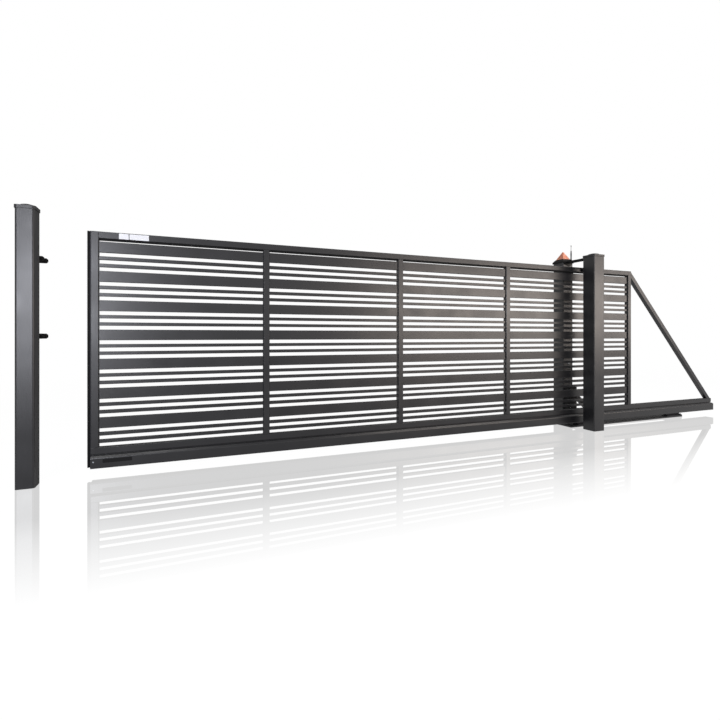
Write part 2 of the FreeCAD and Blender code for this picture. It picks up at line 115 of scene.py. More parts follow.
def clouded(tree, vector, size_mm, dark, light, detail):
    """A colour that drifts between two tints in clouds of this size, and the clouds themselves."""
    noise = add(tree, "ShaderNodeTexNoise", {"Vector": vector, "Scale": per_metre(size_mm), "Detail": detail})
    cloud = noise.outputs["Fac"]
    tint = add(tree, "ShaderNodeMix", {0: cloud, MIX_A: linear(dark), MIX_B: linear(light)}, data_type="RGBA")
    return tint.outputs[MIX_RESULT], cloud


def matt_when_skimmed(tree, roughness):
    """Roughness that rises where the surface is seen along itself."""
    facing = add(tree, "ShaderNodeLayerWeight", {"Blend": 0.5}).outputs["Facing"]
    skim = add(
        tree,
        "ShaderNodeMapRange",
        {"Value": facing, "From Min": SKIM_FROM, "From Max": SKIM_FULL, "To Min": 0.0, "To Max": SKIM_MATT},
    )
    rough = add(tree, "ShaderNodeMath", {0: roughness, 1: skim.outputs[0]}, operation="ADD", use_clamp=True)
    return rough.outputs[0]


print("a pattern of 6 mm has the scale", round(per_metre(6), 1))

# %% [markdown]
# ## Powder coat
# The frame, slats and posts are steel, sprayed with polyester powder and baked. The melt levels out into a
# satin skin with a slight orange peel, and it runs round the edges instead of leaving them sharp. Bevelled
# meshes would cost many faces for an edge of a millimetre and a half, so a Bevel node rounds the edges in the
# shading. The peel is about 2 mm from crest to crest on the real coat. It is drawn at 6 mm here, because a
# finer one would be lost in the render.

# %% Powder coat
PEEL_MM = 6
PEEL_DEPTH, PEEL_STRENGTH = 0.1 * MM, 0.06
MOTTLE_MM = 180
COAT_EDGE = 1.6 * MM
GLOSSIER, DULLER = 0.04, 0.05  # how far the roughness drifts each way


def powder_coat(name, dark, light, roughness, specular):
    material, tree, shader, coords = start_finish(name)
    tint, mottle = clouded(tree, coords, MOTTLE_MM, dark, light, detail=3.0)
    sheen = add(
        tree,
        "ShaderNodeMapRange",
        {"Value": mottle, **CLOUD_RANGE, "To Min": roughness - GLOSSIER, "To Max": roughness + DULLER},
    )
    peel = add(tree, "ShaderNodeTexNoise", {"Vector": coords, "Scale": per_metre(PEEL_MM), "Detail": 1.0})
    edges = add(tree, "ShaderNodeBevel", {"Radius": COAT_EDGE}, samples=4)
    bump = add(
        tree,
        "ShaderNodeBump",
        {
            "Strength": PEEL_STRENGTH,
            "Distance": PEEL_DEPTH,
            "Height": peel.outputs["Fac"],
            "Normal": edges.outputs[0],
        },
    )
    tree.links.new(tint, shader.inputs["Base Color"])
    tree.links.new(matt_when_skimmed(tree, sheen.outputs[0]), shader.inputs["Roughness"])
    tree.links.new(bump.outputs[0], shader.inputs["Normal"])
    shader.inputs["Specular IOR Level"].default_value = specular
    return material


ANTHRACITE = powder_coat("anthracite_powder_coat", "#111114", "#161619", roughness=0.33, specular=0.34)
BLACK_COAT = powder_coat("black_powder_coat", "#0c0c0d", "#121213", roughness=0.45, specular=0.1)
print("coats:", ANTHRACITE.name, BLACK_COAT.name)

# %% [markdown]
# ## Rubber and plastics
# The safety edge is extruded EPDM rubber: nearly black, matt, with fine lines along the extrusion and a grey
# bloom. Caps, head and drive cover are moulded ABS with a fine eroded grain. The wheels are cast nylon, the
# antenna's whip is acetal, and the film on the rail is smooth polyester. Each is a dielectric, so it differs
# from the others by its roughness and its grain more than by its colour, and one function makes them all.

# %% Rubber and plastics
BLOOM_MM = 60
EXTRUSION_MM, ERODED_MM, CAST_MM, SMOOTH_MM = 3, 1.6, 4, 2
GRAIN_STRENGTH = 0.3
GLOSS_DRIFT = 0.06


def moulded(name, dark, light, roughness, grain_mm, depth, specular, stretch=1.0):
    """A stretch below 1 draws the grain out along Z."""
    material, tree, shader, coords = start_finish(name)
    tint, bloom = clouded(tree, coords, BLOOM_MM, dark, light, detail=4.0)
    along = add(tree, "ShaderNodeMapping", {"Vector": coords, "Scale": (1.0, 1.0, stretch)}).outputs[0]
    grain = add(tree, "ShaderNodeTexNoise", {"Vector": along, "Scale": per_metre(grain_mm), "Detail": 2.0})
    dull = add(
        tree,
        "ShaderNodeMapRange",
        {"Value": bloom, **CLOUD_RANGE, "To Min": roughness - GLOSS_DRIFT, "To Max": roughness + GLOSS_DRIFT},
    )
    bump = add(
        tree,
        "ShaderNodeBump",
        {"Strength": GRAIN_STRENGTH, "Distance": depth, "Height": grain.outputs["Fac"]},
    )
    tree.links.new(tint, shader.inputs["Base Color"])
    tree.links.new(matt_when_skimmed(tree, dull.outputs[0]), shader.inputs["Roughness"])
    tree.links.new(bump.outputs[0], shader.inputs["Normal"])
    shader.inputs["Specular IOR Level"].default_value = specular
    return material


RUBBER = moulded(
    "extruded_epdm_rubber",
    "#0a0a0b",
    "#131314",
    roughness=0.7,
    grain_mm=EXTRUSION_MM,
    depth=0.15 * MM,
    specular=0.1,
    stretch=0.02,
)
BLACK_ABS = moulded(
    "moulded_black_abs",
    "#0b0b0c",
    "#111112",
    roughness=0.55,
    grain_mm=ERODED_MM,
    depth=0.1 * MM,
    specular=0.1,
)
NYLON = moulded(
    "cast_nylon", "#3d3d3d", "#494847", roughness=0.55, grain_mm=CAST_MM, depth=0.05 * MM, specular=0.4
)
PALE_FILM = moulded(
    "blank_polyester_film",
    "#d0d2d6",
    "#dadce0",
    roughness=0.55,
    grain_mm=SMOOTH_MM,
    depth=0.02 * MM,
    specular=0.12,
)
GREY_WHIP = moulded(
    "grey_acetal_whip",
    "#8b8c8e",
    "#9a9a9b",
    roughness=0.45,
    grain_mm=SMOOTH_MM,
    depth=0.02 * MM,
    specular=0.4,
    stretch=0.1,
)
print("moulded finishes:", [m.name for m in (RUBBER, BLACK_ABS, NYLON, PALE_FILM, GREY_WHIP)])

# %% [markdown]
# ## Metals
# The strip under the rubber is extruded aluminium, anodised black, with drawn lines along its length. Anchor
# nuts, screws and the lock are galvanised: a dull cool grey with faint cloudy spangle. The bolts are zinc
# passivated black, with the same cloud in a near-black. The carriages take that near-black too, as painted
# shade where the beam shades them. Metals keep the default IOR, and their colour is what they reflect.

# %% Metals
SPANGLE_MM = 9
DRAWN_MM = 1.2
METAL_DRIFT = 0.08


def bare_metal(name, dark, light, roughness, pattern_mm, stretch=1.0):
    material, tree, shader, coords = start_finish(name)
    along = add(tree, "ShaderNodeMapping", {"Vector": coords, "Scale": (1.0, 1.0, stretch)}).outputs[0]
    tint, cloud = clouded(tree, along, pattern_mm, dark, light, detail=3.0)
    dull = add(
        tree,
        "ShaderNodeMapRange",
        {"Value": cloud, **CLOUD_RANGE, "To Min": roughness - METAL_DRIFT, "To Max": roughness + METAL_DRIFT},
    )
    tree.links.new(tint, shader.inputs["Base Color"])
    tree.links.new(dull.outputs[0], shader.inputs["Roughness"])
    shader.inputs["Metallic"].default_value = 1.0
    return material


ANODISED = bare_metal(
    "black_anodised_aluminium", "#1b1b1d", "#242426", roughness=0.45, pattern_mm=DRAWN_MM, stretch=0.01
)
ZINC = bare_metal("galvanised_steel", "#74777b", "#8d9094", roughness=0.5, pattern_mm=SPANGLE_MM)
# Near-black zinc: the bolts' own finish, and painted shade on the carriages under the beam.
BLACK_ZINC_AND_SHADE = bare_metal(
    "black_zinc_and_painted_shade", "#1d1d1f", "#27272a", roughness=0.5, pattern_mm=SPANGLE_MM
)
print("metals:", ANODISED.name, ZINC.name, BLACK_ZINC_AND_SHADE.name)

# %% [markdown]
# ## Lamp lens
# The signal lamp on the drive post has a pyramid of tinted polycarbonate. Clear glass would show the inside
# of the lamp, but the real lens is hazy: light goes into it, scatters and comes out again, which takes the
# depth out of the orange. Subsurface scattering gives that. The surface itself has a soft gloss.

# %% Lamp polycarbonate
HAZE_MM = 20


def lens_polycarbonate():
    material, tree, shader, coords = start_finish("orange_polycarbonate")
    tint, _ = clouded(tree, coords, HAZE_MM, "#c0704f", "#c67f61", detail=2.0)
    tree.links.new(tint, shader.inputs["Base Color"])
    shader.inputs["Roughness"].default_value = 0.35
    shader.inputs["Subsurface Weight"].default_value = 0.3
    shader.inputs["Subsurface Radius"].default_value = (0.02, 0.008, 0.003)
    shader.inputs["Subsurface Scale"].default_value = 0.3
    return material


LENS = lens_polycarbonate()
print("lens finish:", LENS.name)

# %% [markdown]
# Each CAD node carries the name of a material slot in the record. The finishes go on by that name, so the
# scene and the record agree about what is made of what. The carriages take the near-black zinc instead of
# their slot's finish. It is painted shade, since they stand in the shade under the beam.

# %% Put the finishes on the CAD nodes
FINISH = {
    "powder_coat": ANTHRACITE,
    "black_coat": BLACK_COAT,
    "black_rubber": RUBBER,
    "black_plastic": BLACK_ABS,
    "aluminium": ANODISED,
    "zinc_steel": ZINC,
    "wheel_nylon": NYLON,
    "orange_lens": LENS,
    "blank_film": PALE_FILM,
}
# The carriages' near-black is painted shade for the shade that falls on them under the beam.
CARRIAGE_PAINTED_SHADE = {"carriage_left": BLACK_ZINC_AND_SHADE, "carriage_right": BLACK_ZINC_AND_SHADE}
for row in frame["record"]["subparts"]:
    mesh = frame["nodes"][row["node"]].data
    mesh.materials.clear()
    mesh.materials.append(CARRIAGE_PAINTED_SHADE.get(row["node"], FINISH[row["material_slot"]]))

# %% [markdown]
# ## Trees that make what repeats
# Bolts, screws and weld beads are the same few shapes over and over. They could be copied one by one, but a
# geometry tree makes the shape once and sets it on every point it is given, so a size is changed in one
# place. Each point, called a seat here, says which way it faces and how large its copy is.


# %% The start and the end of every geometry tree
def start_geometry_tree(name, sizes):
    tree = bpy.data.node_groups.new(name, "GeometryNodeTree")
    tree.interface.new_socket("Geometry", in_out="INPUT", socket_type="NodeSocketGeometry")
    for label, value in sizes.items():
        socket = tree.interface.new_socket(label, in_out="INPUT", socket_type="NodeSocketFloat")
        socket.default_value = value
    tree.interface.new_socket("Finish", in_out="INPUT", socket_type="NodeSocketMaterial")
    tree.interface.new_socket("Geometry", in_out="OUTPUT", socket_type="NodeSocketGeometry")
    return tree, add(tree, "NodeGroupInput")


def end_geometry_tree(tree, given, points, shape, rotation, scale):
    """Set the shape on the points, make the copies real and give them their finish."""
    copies = add(
        tree,
        "GeometryNodeInstanceOnPoints",
        {"Points": points, "Instance": shape, "Rotation": rotation, "Scale": scale},
    )
    real = add(tree, "GeometryNodeRealizeInstances", {0: copies.outputs[0]})
    coated = add(
        tree,
        "GeometryNodeSetMaterial",
        {"Geometry": real.outputs[0], "Material": given.outputs["Finish"]},
    )
    add(tree, "NodeGroupOutput", {0: coated.outputs[0]})
    return tree


def seat_facing_and_size(tree):
    facing = add(tree, "GeometryNodeInputNamedAttribute", {"Name": "facing"}, data_type="FLOAT_VECTOR")
    size = add(tree, "GeometryNodeInputNamedAttribute", {"Name": "size"}, data_type="FLOAT")
    outward = facing.outputs["Attribute"]
    aligned = add(tree, "FunctionNodeAlignRotationToVector", {"Vector": outward}, axis="Z")
    return aligned.outputs[0], size.outputs["Attribute"]


RANDOM_MIN, RANDOM_MAX, RANDOM_RESULT = 2, 3, 1  # the sockets of a Random Value node that carry floats
print("geometry trees start with their sizes and a finish, and end in real, coated copies")

# %% [markdown]
# ## Bolts and nuts
# A bolt is a washer, a hexagon with a bevelled crown, and for the anchors a stud through it. All its sizes
# follow from five inputs. A seeded turn keeps the hexagons from lining up, as a spanner would leave them.

# %% Geometry tree for hexagon bolts
BOLT_SIZES = {
    "Across Flats": 17 * MM,
    "Head": 7 * MM,
    "Washer": 20 * MM,
    "Washer Thickness": 2 * MM,
    "Stud": 0.0,
}
BOLT_SHARES = {
    "washer radius": ("Washer", 0.5),
    "washer middle": ("Washer Thickness", 0.5),
    "corner radius": ("Across Flats", 3**-0.5),
    "crown foot": ("Across Flats", 0.49),
    "crown top": ("Across Flats", 0.42),
    "crown height": ("Head", 0.12),
    "stud radius": ("Across Flats", 0.31),
    "half head": ("Head", 0.5),
}
SIXTH_TURN = math.pi / 3


def bolt_tree():
    tree, given = start_geometry_tree("hexagon bolts", BOLT_SIZES)
    part = dict(given.outputs.items())
    for label, (source, share) in BOLT_SHARES.items():
        node = add(tree, "ShaderNodeMath", {0: part[source], 1: share}, operation="MULTIPLY")
        part[label] = node.outputs[0]
    for label, low, high in (
        ("head middle", "Washer Thickness", "half head"),
        ("head top", "Washer Thickness", "Head"),
        ("stud top", "head top", "Stud"),
    ):
        part[label] = add(tree, "ShaderNodeMath", {0: part[low], 1: part[high]}, operation="ADD").outputs[0]
    washer = add(
        tree,
        "GeometryNodeMeshCylinder",
        {"Vertices": 20, "Radius": part["washer radius"], "Depth": part["Washer Thickness"]},
    )
    head = add(
        tree,
        "GeometryNodeMeshCylinder",
        {"Vertices": 6, "Radius": part["corner radius"], "Depth": part["Head"]},
    )
    crown = add(
        tree,
        "GeometryNodeMeshCone",
        {
            "Vertices": 18,
            "Radius Top": part["crown top"],
            "Radius Bottom": part["crown foot"],
            "Depth": part["crown height"],
        },
    )
    stud = add(
        tree,
        "GeometryNodeMeshCone",
        {
            "Vertices": 14,
            "Radius Top": part["stud radius"],
            "Radius Bottom": part["stud radius"],
            "Depth": part["stud top"],
        },
    )
    stack = [stud.outputs["Mesh"]]
    for piece, height in ((washer, "washer middle"), (head, "head middle"), (crown, "head top")):
        lift = add(tree, "ShaderNodeCombineXYZ", {"Z": part[height]}).outputs[0]
        moved = add(tree, "GeometryNodeTransform", {"Geometry": piece.outputs["Mesh"], "Translation": lift})
        stack.append(moved.outputs[0])
    bolt = add(tree, "GeometryNodeJoinGeometry", {0: stack})
    aligned, size = seat_facing_and_size(tree)
    angle = add(
        tree,
        "FunctionNodeRandomValue",
        {RANDOM_MIN: 0.0, RANDOM_MAX: SIXTH_TURN, "Seed": 11},
        data_type="FLOAT",
    )
    about = add(tree, "FunctionNodeAxisAngleToRotation", {"Angle": angle.outputs[RANDOM_RESULT]})
    spun = add(
        tree,
        "FunctionNodeRotateRotation",
        {"Rotation": aligned, "Rotate By": about.outputs[0]},
        rotation_space="LOCAL",
    )
    return end_geometry_tree(tree, given, part["Geometry"], bolt.outputs[0], spun.outputs[0], size)


BOLTS = bolt_tree()
print("bolt tree:", len(BOLTS.nodes), "nodes")

# %% [markdown]
# A tree works on an object, so a bare mesh of points carries it. The tree's inputs are set by their socket
# identifiers before anything is evaluated. Then new_from_object freezes the result into a plain mesh, and the
# modifier goes away.


# %% Run a tree and keep its result as a plain mesh
def place(name, mesh, body):
    piece = bpy.data.objects.new(name, mesh)
    scene.collection.objects.link(piece)
    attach(piece, body)
    return piece


def grow(name, tree, carrier, inputs, body):
    holder = bpy.data.objects.new(name + "_carrier", carrier)
    scene.collection.objects.link(holder)
    modifier = holder.modifiers.new(tree.name, "NODES")
    modifier.node_group = tree
    for item in tree.interface.items_tree:
        if item.in_out == "INPUT" and item.name in inputs:
            modifier[item.identifier] = inputs[item.name]
    bpy.context.view_layer.update()
    depsgraph = bpy.context.evaluated_depsgraph_get()
    mesh = bpy.data.meshes.new_from_object(holder.evaluated_get(depsgraph), depsgraph=depsgraph)
    mesh.name = name
    holder.modifiers.remove(modifier)
    bpy.data.objects.remove(holder)
    piece = place(name, mesh, body)
    print(name, "has", len(mesh.polygons), "faces")
    return piece


def seats(spots):
    """Points with the way they face and their size, as a mesh for a tree to work on."""
    mesh = bpy.data.meshes.new("seats")
    mesh.from_pydata([spot[0] for spot in spots], [], [])
    mesh.attributes.new("facing", "FLOAT_VECTOR", "POINT")
    mesh.attributes.new("size", "FLOAT", "POINT")
    for i, (_, direction, scale) in enumerate(spots):
        mesh.attributes["facing"].data[i].vector = direction
        mesh.attributes["size"].data[i].value = scale
    return mesh


print("pieces ride on", FIXED, "or on", LEAF)

# %% [markdown]
# Where the bolts sit follows from the CAD boxes: the carriages stand on the base plate with four bolts each,
# the catches are bolted to the receiving post and hold their pegs from behind, and each roller bracket has
# one bolt. A bolt's size is its width across flats, against the 17 mm that the tree starts from.

# %% Bolts on the fixed side
UP = (0, 0, 1)
STREET, YARD = (0, -1, 0), (0, 1, 0)
TO_POST, TO_TAIL = (-1, 0, 0), (1, 0, 0)
M8, M10, M12 = 0.76, 1.0, 1.12
CARRIAGE_BOLT_X, CARRIAGE_BOLT_Y, CARRIAGE_FOOT_TOP = 98 * MM, 18.5 * MM, 22 * MM
CATCH_BOLT_X, CATCH_BOLT_Z, CATCH_WALL = 16 * MM, 27 * MM, 6 * MM
PEG_Y, PEG_BACK = 40 * MM, 8 * MM
BRACKET_WALL, BRACKET_BOLT_RISE = 8 * MM, 16 * MM
spots = []
for node in ("carriage_left", "carriage_right"):
    low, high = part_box(node)
    middle = (low.x + high.x) / 2
    for x in (middle - CARRIAGE_BOLT_X, middle + CARRIAGE_BOLT_X):
        for y in (-CARRIAGE_BOLT_Y, CARRIAGE_BOLT_Y):
            spots.append(((x, y, CARRIAGE_FOOT_TOP), UP, M8))
for node in ("lower_catch", "upper_catch"):
    low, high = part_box(node)
    middle = (low.z + high.z) / 2
    for z in (middle - CATCH_BOLT_Z, middle + CATCH_BOLT_Z):
        spots.append(((low.x + CATCH_BOLT_X, low.y + CATCH_WALL, z), YARD, M10))
    for y in (-PEG_Y, PEG_Y):
        spots.append(((high.x - PEG_BACK, y, middle), TO_POST, M12))
for node, inward in (("front_guide_bracket", YARD), ("rear_guide_bracket", STREET)):
    low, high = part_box(node)
    face = low.y + BRACKET_WALL if inward is YARD else high.y - BRACKET_WALL
    spots.append((((low.x + high.x) / 2, face, low.z + BRACKET_BOLT_RISE), inward, M8))
grow("hex_bolts", BOLTS, seats(spots), {"Finish": BLACK_ZINC_AND_SHADE}, FIXED)

# %% [markdown]
# The base plate is held down by four anchors that are set in concrete. Each shows as a stud with a nut, from
# the same tree with a higher head and some stud above it.

# %% Anchor nuts
ANCHOR_X = (150 * MM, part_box("base_plate")[1].x - 38 * MM)
ANCHOR_Y = (85 * MM, 215 * MM)
BASE_TOP = 12 * MM
spots = [((x, y, BASE_TOP), UP, M12) for x in ANCHOR_X for y in ANCHOR_Y]
anchor_inputs = {"Stud": 16 * MM, "Head": 9 * MM, "Finish": ZINC}
grow("anchor_nuts", BOLTS, seats(spots), anchor_inputs, FIXED)

# %% [markdown]
# ## Weld beads
# The stiles and the brace are welded to the rails in the inner corners, and the coat goes over the weld. A
# weld is a row of overlapping ripples along a line. The tree samples each line at the ripple pitch and sets
# a bead on every sample, with a seeded change of size so that it looks laid by hand.

# %% Geometry tree for weld beads
SMALL_BEAD, LARGE_BEAD = 0.86, 1.12


def weld_tree():
    tree, given = start_geometry_tree("weld beads", {"Throat": 2.2 * MM, "Ripple": 2.0 * MM})
    line = add(tree, "GeometryNodeMeshToCurve", {"Mesh": given.outputs["Geometry"]})
    steps = add(
        tree,
        "GeometryNodeResampleCurve",
        {"Curve": line.outputs[0], "Length": given.outputs["Ripple"]},
        mode="LENGTH",
    )
    bead = add(
        tree,
        "GeometryNodeMeshUVSphere",
        {"Segments": 8, "Rings": 5, "Radius": given.outputs["Throat"]},
    ).outputs["Mesh"]
    tangent = add(tree, "GeometryNodeInputTangent")
    along = add(tree, "FunctionNodeAlignRotationToVector", {"Vector": tangent.outputs[0]}, axis="Z")
    size = add(
        tree,
        "FunctionNodeRandomValue",
        {RANDOM_MIN: SMALL_BEAD, RANDOM_MAX: LARGE_BEAD, "Seed": 5},
        data_type="FLOAT",
    ).outputs[RANDOM_RESULT]
    return end_geometry_tree(tree, given, steps.outputs[0], bead, along.outputs[0], size)


WELDS = weld_tree()
print("weld tree:", len(WELDS.nodes), "nodes")

# %% [markdown]
# The lines run through the depth of the leaf, in the four inner corners of each bay and the three of the
# tail. Their places are read from the boxes of stiles, rails and brace.

# %% Weld lines in the leaf's inner corners
SEAM_REACH = 17.5 * MM
STILES = ["leading_stile", "mid_stile_1", "mid_stile_2", "mid_stile_3", "trailing_stile"]
low_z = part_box("bottom_rail")[1].z
high_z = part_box("top_rail")[0].z
corners = []
for left, right in zip(STILES, STILES[1:]):
    for x in (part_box(left)[1].x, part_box(right)[0].x):
        corners += [(x, low_z), (x, high_z)]
brace_low, brace_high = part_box("tail_brace")
corners += [(brace_low.x, brace_high.z), (brace_high.x, brace_low.z), (brace_low.x, low_z)]
points = []
edges = []
for x, z in corners:
    edges.append((len(points), len(points) + 1))
    points += [(x, -SEAM_REACH, z), (x, SEAM_REACH, z)]
seams = bpy.data.meshes.new("seams")
seams.from_pydata(points, edges, [])
weld_beads = grow("weld_beads", WELDS, seams, {"Finish": ANTHRACITE}, LEAF)
for face in weld_beads.data.polygons:
    face.use_smooth = True
print("welded", len(corners), "corners")

# %% [markdown]
# ## Pieces turned or drawn by hand
# A turned piece is a short profile carried round an axis, and a drawn one is a closed outline pulled along a
# line. Both are a few rings of points joined by faces, closed at the ends.


# %% Join rings of points into a closed shell
def shell(name, rings, finishes, ring_finish=None):
    form = bmesh.new()
    loops = [[form.verts.new(p) for p in ring] for ring in rings]
    for i, (one, two) in enumerate(zip(loops, loops[1:])):
        for a in range(len(one)):
            b = (a + 1) % len(one)
            face = form.faces.new((one[a], one[b], two[b], two[a]))
            face.material_index = ring_finish[i] if ring_finish else 0
    form.faces.new(list(reversed(loops[0])))
    last = form.faces.new(loops[-1])
    last.material_index = ring_finish[-1] if ring_finish else 0
    bmesh.ops.recalc_face_normals(form, faces=form.faces)
    mesh = bpy.data.meshes.new(name)
    form.to_mesh(mesh)
    form.free()
    for finish in finishes:
        mesh.materials.append(finish)
    return mesh


def turned(profile, base, facing, sides):
    """Rings of a profile of radius and height, round the axis that leaves the base towards facing."""
    lean = Vector(facing).to_track_quat("Z", "Y")
    around = [math.tau * i / sides for i in range(sides)]
    rings = []
    for radius, height in profile:
        ring = [Vector((radius * math.cos(angle), radius * math.sin(angle), height)) for angle in around]
        rings.append([Vector(base) + lean @ point for point in ring])
    return rings


def smooth_by_angle(mesh, degrees):
    for face in mesh.polygons:
        face.use_smooth = True
    mesh.set_sharp_from_angle(angle=math.radians(degrees))


print("shell and turning helpers ready")

# %% [markdown]
# ## Lamp
# The pyramid over the drive post warns when the leaf moves. Its lens is moulded with level prisms that
# spread the light. A bump would vanish in the outline, so the lens is stacked here from square rings that
# step in and out by just under a millimetre.

# %% Ribbed lamp lens
RIBS = 11
RIB_DEPTH = 0.8 * MM
RIB_RINGS = ((0.0, RIB_DEPTH), (0.25, 0.0), (0.8, 0.0))  # share of the rib's height, step inwards
LENS_TIP = 4 * MM
LEAST_HALF = 2.2 * MM
LENS_CORNER, CORNER_SHARE = 3 * MM, 0.3
END_HALF, END_CORNER = 2.5 * MM, 0.8 * MM
lens_low, lens_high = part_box("lamp_lens")
centre = (lens_low + lens_high) / 2
half_base = (lens_high.x - lens_low.x) / 2


def square_ring(half, z, corner):
    ring = []
    for sx, sy in ((1, 1), (-1, 1), (-1, -1), (1, -1)):
        first = (sx * half, sy * (half - corner))
        second = (sx * (half - corner), sy * half)
        pair = (first, second) if sx * sy > 0 else (second, first)
        ring += [(centre.x + x, centre.y + y, z) for x, y in pair]
    return ring


rings = []
for i in range(RIBS):
    for share, step in RIB_RINGS:
        t = (i + share) / RIBS
        z = lens_low.z + t * (lens_high.z - lens_low.z)
        half = half_base + t * (LENS_TIP - half_base) - step
        rings.append(square_ring(max(half, LEAST_HALF), z, min(LENS_CORNER, half * CORNER_SHARE)))
rings.append(square_ring(END_HALF, lens_high.z, END_CORNER))
lamp_lens = place("lamp_lens_ribbed", shell("lamp_lens_ribbed", rings, [LENS]), FIXED)
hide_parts("lamp_lens")
print("lamp lens:", len(lamp_lens.data.polygons), "faces")

# %% [markdown]
# ## Antenna
# The radio antenna stands on the head: a ribbed black sleeve, a thin grey whip and a bead on its tip. It is
# one turned profile with two finishes, since all of it is round.

# %% Antenna
GROOVES, GROOVE_START, GROOVE_PITCH = 5, 8 * MM, 6 * MM
GROOVE = ((1.0, 0.0), (0.8, 1 * MM), (0.8, 3 * MM), (1.0, 4 * MM))  # share of the radius, height
TAPER = ((1.0, 56 * MM), (0.72, 84 * MM))
WHIP_R, WHIP_FOOT = 2.5 * MM, 86 * MM
BEAD_FOOT = 12 * MM
BEAD = ((3.6 * MM, 10 * MM), (4 * MM, 5 * MM), (3 * MM, 1 * MM), (1.2 * MM, 0.0))  # radius, below the tip
ROUND_SIDES = 14
SOFT_EDGE = 35  # degrees, up to which an edge is shaded smooth
low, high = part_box("antenna")
foot = ((low.x + high.x) / 2, (low.y + high.y) / 2, low.z)
sleeve_r = (high.x - low.x) / 2
tip = high.z - low.z
sleeve = [(sleeve_r, 0.0)]
for i in range(GROOVES):
    sleeve += [(sleeve_r * share, GROOVE_START + i * GROOVE_PITCH + z) for share, z in GROOVE]
sleeve += [(sleeve_r * share, z) for share, z in TAPER] + [(WHIP_R, WHIP_FOOT)]
whip = [(WHIP_R, tip - BEAD_FOOT)]
bead = [(radius, tip - below) for radius, below in BEAD]
finish_of = [0] * (len(sleeve) - 1) + [1] * len(whip) + [0] * len(bead)
rings = turned(sleeve + whip + bead, foot, UP, ROUND_SIDES)
mesh = shell("antenna_turned", rings, [BLACK_ABS, GREY_WHIP], finish_of)
smooth_by_angle(mesh, SOFT_EDGE)
antenna = place("antenna_turned", mesh, FIXED)
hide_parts("antenna")
print("antenna:", len(mesh.polygons), "faces, top at", round(high.z, 3))

# %% [markdown]
# ## Safety edge
# The rubber on the closing end is a hollow bumper with a switch strip inside. Seen from its end it has a
# rounded nose, a waist, and a foot that snaps into the aluminium strip. It is an extrusion, so the outline is
# drawn once, in shares of the CAD box, and pulled up along the leaf.

# %% Safety edge rubber
FOOT_AND_WAIST = ((0.0, 0.42), (-0.16, 0.42), (-0.2, 0.34), (-0.3, 0.34), (-0.34, 0.5))
NOSE_AT, NOSE_REACH, NOSE_HALF, NOSE_STEPS = -0.52, 0.48, 0.5, 9
RUBBER_EDGE = 30  # degrees
low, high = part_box("safety_edge")
width = high.y - low.y
depth = high.x - low.x
outline = [(u, -v) for u, v in FOOT_AND_WAIST]
for i in range(NOSE_STEPS + 1):
    angle = math.pi * (i / NOSE_STEPS - 0.5)
    outline.append((NOSE_AT - NOSE_REACH * math.cos(angle), NOSE_HALF * math.sin(angle)))
outline += reversed(FOOT_AND_WAIST)
rings = [[(high.x + u * depth, v * width, z) for u, v in outline] for z in (low.z, high.z)]
mesh = shell("safety_edge_rubber", rings, [RUBBER])
smooth_by_angle(mesh, RUBBER_EDGE)
safety_edge = place("safety_edge_rubber", mesh, LEAF)
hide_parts("safety_edge")
print("safety edge:", len(outline), "points round, from", round(low.z, 3), "to", round(high.z, 3))

# %% [markdown]
# ## Running beam
# CAD has the beam's shoulders as plain bevels. The real section is rolled from sheet, so each shoulder is a
# flat between two bends, and it mirrors the light overhead as a pale line along the whole gate. The outline
# follows the CAD section, with those flats and a small bend at each lower edge, and is pulled along the leaf.

# %% Rolled running beam
SLOT_HALF, NECK_HALF, NECK_RISE = 15 * MM, 12 * MM, 6.5 * MM
SHEET = 5 * MM
SHOULDER, SHOULDER_BEND = 15 * MM, 1 * MM
FLAT_END = 0.8 * SHOULDER
CHAMBER_DROP = 9 * MM
LOW_BEND, BEND_STEPS = 5 * MM, 8
BEAM_EDGE = 15  # degrees
beam_low, beam_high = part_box("running_beam")
beam_half = beam_high.y
beam_top = beam_high.z - NECK_RISE
floor_top = beam_low.z + SHEET
ceiling = beam_top - CHAMBER_DROP - SHEET
yard_side = [(SLOT_HALF, beam_low.z)]
for i in range(BEND_STEPS + 1):
    angle = math.radians(90 * i / BEND_STEPS)
    out = beam_half - LOW_BEND + LOW_BEND * math.sin(angle)
    yard_side.append((out, beam_low.z + LOW_BEND - LOW_BEND * math.cos(angle)))
shoulder = ((0.0, SHOULDER), (SHOULDER_BEND, FLAT_END), (FLAT_END, SHOULDER_BEND), (SHOULDER, 0.0))
yard_side += [(beam_half - inset, beam_top - drop) for inset, drop in shoulder]
yard_side += [(NECK_HALF, beam_top), (NECK_HALF, beam_high.z)]
inside = [(SLOT_HALF, floor_top), (beam_half - SHEET, floor_top), (beam_half - SHEET, ceiling)]
outline = yard_side + [(-y, z) for y, z in reversed(yard_side)]
outline += [(-y, z) for y, z in inside] + list(reversed(inside))
rings = [[(x, y, z) for y, z in outline] for x in (beam_low.x, beam_high.x)]
mesh = shell("running_beam_rolled", rings, [ANTHRACITE])
smooth_by_angle(mesh, BEAM_EDGE)
running_beam = place("running_beam_rolled", mesh, LEAF)
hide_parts("running_beam")
print("running beam:", len(outline), "points round")

# %% [markdown]
# ## Screws
# Small button-head screws hold the end caps of the beam, the cover of the drive housing and the yoke under
# the head. Their tree sets a round ring on a low cone, so that the middle of the ring is left as a socket.

# %% Geometry tree for button-head screws
SCREW_SIZES = {"Head Radius": 6 * MM, "Head": 3 * MM, "Socket": 2.4 * MM}
SCREW_SHARES = {
    "skirt top": ("Head Radius", 0.86),
    "skirt height": ("Head", 0.6),
    "dome radius": ("Head Radius", 0.62),
}


